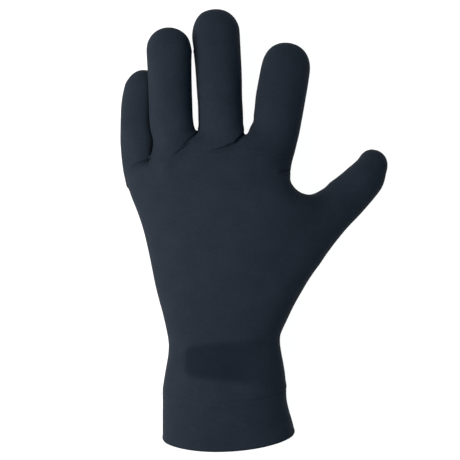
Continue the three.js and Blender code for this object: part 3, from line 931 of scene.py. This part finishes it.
def camera():
    data = bpy.data.cameras.new("camera")
    data.sensor_width = SENSOR
    data.lens = SENSOR * (CAMERA_HEIGHT - VIEW_LEVEL) / VIEW_WIDTH
    data.clip_start, data.clip_end = CLIP
    obj = bpy.data.objects.new("camera", data)
    obj.location = place(*CAMERA_ABOVE, CAMERA_HEIGHT)
    bpy.context.scene.collection.objects.link(obj)
    bpy.context.scene.camera = obj


def linear(colour):
    """A colour like #2b323b as the linear values that a shader takes."""
    values = [int(colour[start:start + 2], 16) / 255 for start in (1, 3, 5)]
    values = [v / 12.92 if v <= 0.04045 else ((v + 0.055) / 1.055) ** 2.4 for v in values]
    return (*values, 1)


def add_node(material, kind, settings=None, **inputs):
    """Adds a node with its settings. Each input is a value, or the output of another node."""
    node = material.node_tree.nodes.new("ShaderNode" + kind)
    for name, value in (settings or {}).items():
        setattr(node, name, value)
    for name, value in inputs.items():
        key = int(name[1:]) if name[0] == "n" and name[1:].isdigit() else name.replace("_", " ")
        if isinstance(value, bpy.types.NodeSocket):
            material.node_tree.links.new(value, node.inputs[key])
        else:
            node.inputs[key].default_value = value
    return node


def bare_material(name):
    material = bpy.data.materials.new(name)
    material.use_nodes = True
    material.node_tree.nodes.clear()
    return material


def area_light(name, size, energy, location, target):
    data = bpy.data.lights.new(name, "AREA")
    data.shape = "DISK"
    data.size = size
    data.energy = energy
    data.color = LAMP_COLOUR
    obj = bpy.data.objects.new(name, data)
    obj.location = location
    obj.rotation_euler = (Vector(target) - Vector(location)).to_track_quat("-Z", "Y").to_euler()
    bpy.context.scene.collection.objects.link(obj)


def studio():
    """A white paper table that reads as pure white, a pale sky all round, and one soft lamp."""
    bpy.ops.object.select_all(action="DESELECT")
    bpy.ops.mesh.primitive_plane_add(size=TABLE_SIZE, location=(0, 0, 0))
    floor = bpy.context.object
    floor.name = "table"
    paper = bare_material("white_paper")
    shader = add_node(paper, "BsdfPrincipled", Base_Color=linear("#7c7c7c"), Roughness=0.9,
                      Emission_Color=linear("#ffffff"), Emission_Strength=PAPER_GLOW)
    add_node(paper, "OutputMaterial", Surface=shader.outputs["BSDF"])
    floor.data.materials.append(paper)
    world = bpy.data.worlds.new("studio")
    world.use_nodes = True
    sky = world.node_tree.nodes["Background"]
    sky.inputs["Color"].default_value = SKY_COLOUR
    sky.inputs["Strength"].default_value = SKY_STRENGTH
    bpy.context.scene.world = world
    area_light("softbox", LAMP_SIZE, LAMP_POWER, LAMP_PLACE, LAMP_AIM)
    bpy.context.scene.view_settings.view_transform = "Standard"


# Materials. The real jersey has a column of stitches every 0.5 mm. They are drawn every 0.8 mm, so that they
# still show as a grain at the picture's 0.6 mm a pixel.
WALE = 0.0008
COURSE = 0.0007
KNIT_RELIEF = 0.00016
KNIT_STRENGTH = 0.8
LEG_SHARE = 0.9
RIB_SHARE = 0.5
END_FACING = 0.75

# The cloth has soft blotches of about 11 mm. Real flecks of yarn are about 0.3 mm. They are too fine for the
# picture, so they are drawn at about 0.9 mm. The foam's cells are about 0.45 mm.
BLOTCHES_A_METRE = 90.0
FLECKS_A_METRE = 1100.0
FLECK_SHARE = 1.5
TONE_SPAN = (0.8, 1.7)
CELLS_A_METRE = 2200.0
# The colour multiplied into the jersey in the wrist's hollow: painted shade, darker and a little bluer.
HOLLOW_SHADE_TINT = "#b6c9d4"


def knit_height(cloth, across, along):
    """Height of a plain jersey knit over two lengths in metres: columns of V-shaped stitches."""
    column = add_node(cloth, "Math", {"operation": "MULTIPLY"}, n0=across, n1=1 / WALE)
    aside = add_node(cloth, "Math", {"operation": "PINGPONG"}, n0=column.outputs[0], n1=0.5)
    row = add_node(cloth, "Math", {"operation": "MULTIPLY_ADD"}, n0=along, n1=1 / COURSE, n2=aside.outputs[0])
    leg = add_node(cloth, "Math", {"operation": "PINGPONG"}, n0=row.outputs[0], n1=0.5)
    leg_height = add_node(cloth, "Math", {"operation": "MULTIPLY"}, n0=leg.outputs[0], n1=LEG_SHARE)
    turn = add_node(cloth, "Math", {"operation": "MULTIPLY"}, n0=aside.outputs[0], n1=2 * math.pi)
    rib = add_node(cloth, "Math", {"operation": "SINE"}, n0=turn.outputs[0])
    height = add_node(cloth, "Math", {"operation": "MULTIPLY_ADD"}, n0=rib.outputs[0], n1=RIB_SHARE,
                      n2=leg_height.outputs[0])
    return height.outputs[0]


def jersey(name, base, bright):
    """Nylon jersey, knitted fine and laminated on foam: matt, with a soft sheen where it turns away."""
    cloth = bare_material(name)
    coordinates = add_node(cloth, "TexCoord")
    mottle = add_node(cloth, "TexNoise", Vector=coordinates.outputs["Object"], Scale=BLOTCHES_A_METRE,
                      Detail=4.0)
    yarn = add_node(cloth, "TexNoise", Vector=coordinates.outputs["Object"], Scale=FLECKS_A_METRE,
                    Detail=2.0)
    both = add_node(cloth, "Math", {"operation": "MULTIPLY_ADD"}, n0=yarn.outputs["Fac"], n1=FLECK_SHARE,
                    n2=mottle.outputs["Fac"])
    share = add_node(cloth, "MapRange", Value=both.outputs[0], From_Min=TONE_SPAN[0],
                     From_Max=TONE_SPAN[1])
    tone = add_node(cloth, "Mix", {"data_type": "RGBA"}, Factor=share.outputs[0], n6=linear(base),
                    n7=linear(bright))
    place_axes = add_node(cloth, "SeparateXYZ", Vector=coordinates.outputs["Object"])
    x, y, z = place_axes.outputs
    facing = add_node(cloth, "VectorMath", {"operation": "ABSOLUTE"}, n0=coordinates.outputs["Normal"])
    facing_x, facing_y, facing_z = add_node(cloth, "SeparateXYZ", Vector=facing.outputs[0]).outputs
    on_side = add_node(cloth, "Math", {"operation": "GREATER_THAN"}, n0=facing_x, n1=facing_z)
    on_end = add_node(cloth, "Math", {"operation": "GREATER_THAN"}, n0=facing_y, n1=END_FACING)
    from_side = add_node(cloth, "Mix", {"data_type": "FLOAT"}, Factor=on_side.outputs[0],
                         n2=knit_height(cloth, x, y), n3=knit_height(cloth, z, y))
    knit = add_node(cloth, "Mix", {"data_type": "FLOAT"}, Factor=on_end.outputs[0],
                    n2=from_side.outputs[0], n3=knit_height(cloth, x, z))
    relief = add_node(cloth, "Bump", Height=knit.outputs[0], Strength=KNIT_STRENGTH,
                      Distance=KNIT_RELIEF)
    # Painted shade: in the hollow on the back of the wrist the jersey's colour is darkened, standing in for
    # the hollow's shade.
    hollow = add_node(cloth, "Attribute", {"attribute_name": "hollow_and_shade"})
    shaded_tone = add_node(cloth, "Mix", {"data_type": "RGBA", "blend_type": "MULTIPLY"},
                    Factor=hollow.outputs["Fac"], n6=tone.outputs[2], n7=linear(HOLLOW_SHADE_TINT))
    shader = add_node(cloth, "BsdfPrincipled", Base_Color=shaded_tone.outputs[2], Roughness=0.9,
                      Specular_IOR_Level=0.12, Sheen_Weight=0.03, Sheen_Roughness=0.4,
                      Sheen_Tint=linear("#9fb0c4"), Normal=relief.outputs["Normal"])
    add_node(cloth, "OutputMaterial", Surface=shader.outputs["BSDF"])
    return cloth


def thread_material():
    """Bonded nylon thread in the jersey's own colour, a shade paler."""
    yarn = bare_material("nylon_thread")
    shader = add_node(yarn, "BsdfPrincipled", Base_Color=linear("#222c37"), Roughness=0.85,
                      Specular_IOR_Level=0.15)
    add_node(yarn, "OutputMaterial", Surface=shader.outputs["BSDF"])
    return yarn


def foam():
    """Closed-cell chloroprene foam, cut through: dull black-grey with pinhead cells."""
    core = bare_material("neoprene_foam_cut")
    coordinates = add_node(core, "TexCoord")
    cells = add_node(core, "TexVoronoi", Vector=coordinates.outputs["Object"], Scale=CELLS_A_METRE)
    tone = add_node(core, "Mix", {"data_type": "RGBA"}, Factor=cells.outputs["Distance"],
                    n6=linear("#2c2e31"), n7=linear("#3b3d41"))
    relief = add_node(core, "Bump", Height=cells.outputs["Distance"], Strength=0.4, Distance=0.0002)
    shader = add_node(core, "BsdfPrincipled", Base_Color=tone.outputs[2], Roughness=0.7,
                      Normal=relief.outputs["Normal"])
    add_node(core, "OutputMaterial", Surface=shader.outputs["BSDF"])
    return core


ACROSS, ALONG, UP = 0, 1, 2

# The seven pieces: the CAD node, the piece's own name, the skin that it is cut from, and its cuts. A cut is
# the axis that it crosses, its level on that axis, and whether what lies above it is kept.
PIECES = [
    ("cuff_band", "cuff_shell", "hand",
     [(ALONG, band_seam, False), (ALONG, hem, True)]),
    ("back_panel", "back_shell", "hand",
     [(ALONG, band_seam, True), (ALONG, knuckle_seam, False), (UP, side_seam, True)]),
    ("palm_panel", "palm_shell", "hand",
     [(ALONG, band_seam, True), (ALONG, knuckle_seam, False), (UP, side_seam, False)]),
    ("little_finger", "little_stall", "little",
     [(ALONG, knuckle_seam, True), (ACROSS, little_side, False)]),
    ("ring_finger", "ring_stall", "stalls",
     [(ALONG, knuckle_seam, True), (ACROSS, little_web, True), (ACROSS, ring_web, False)]),
    ("middle_finger", "middle_stall", "stalls",
     [(ALONG, knuckle_seam, True), (ACROSS, ring_web, True), (ACROSS, middle_web, False)]),
    ("index_finger", "index_stall", "stalls",
     [(ALONG, knuckle_seam, True), (ACROSS, middle_web, True)]),
]

camera()
studio()

jersey_outside = jersey("nylon_jersey_on_neoprene", "#18202a", "#1f2832")
thread_twist = thread_material()
jersey_lining = jersey("nylon_jersey_lining", "#1d2126", "#262a30")
foam_edge = foam()
sheet = (jersey_outside, jersey_lining, foam_edge)

# The hand is cut from a skin with all its stalls. The stalls that lie clear of each other are cut from one
# without the little finger, which lies under the ring finger and has a skin of its own.
tall_stalls = [("ring_form", RING), ("middle_form", MIDDLE), ("index_form", INDEX)]
hand_end = LITTLE_WEB - LITTLE_STEP
skins = {
    "hand": skin_of(glove_forms(*tall_stalls, ("little_form", LITTLE)), "hand_skin"),
    "stalls": skin_of(glove_forms(*tall_stalls), "stall_skin"),
    "little": skin_of([hand_form(hand_end), stall_form("little_form", LITTLE)], "little_skin", True),
}
pieces = {}
for node, name, skin, cuts in PIECES:
    pieces[node] = piece(skins[skin], name, cuts, sheet)
for skin in skins.values():
    bpy.data.objects.remove(skin)

# The thread shows as faint dashes beside the knuckle seam and the cuff's seam.
hand_shells = [pieces["back_panel"], pieces["palm_panel"]]
cuff_shells = [pieces["cuff_band"]]
knuckle_thread = stitches(hand_shells, "knuckle_thread", knuckle_stitches, KNUCKLE_STITCH_SPAN, thread_twist)
band_thread = stitches(cuff_shells, "band_thread", band_stitches, BAND_STITCH_SPAN, thread_twist)
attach(knuckle_thread, "root")
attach(band_thread, "root")

for node, made in pieces.items():
    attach(made, "root")
    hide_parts(node)
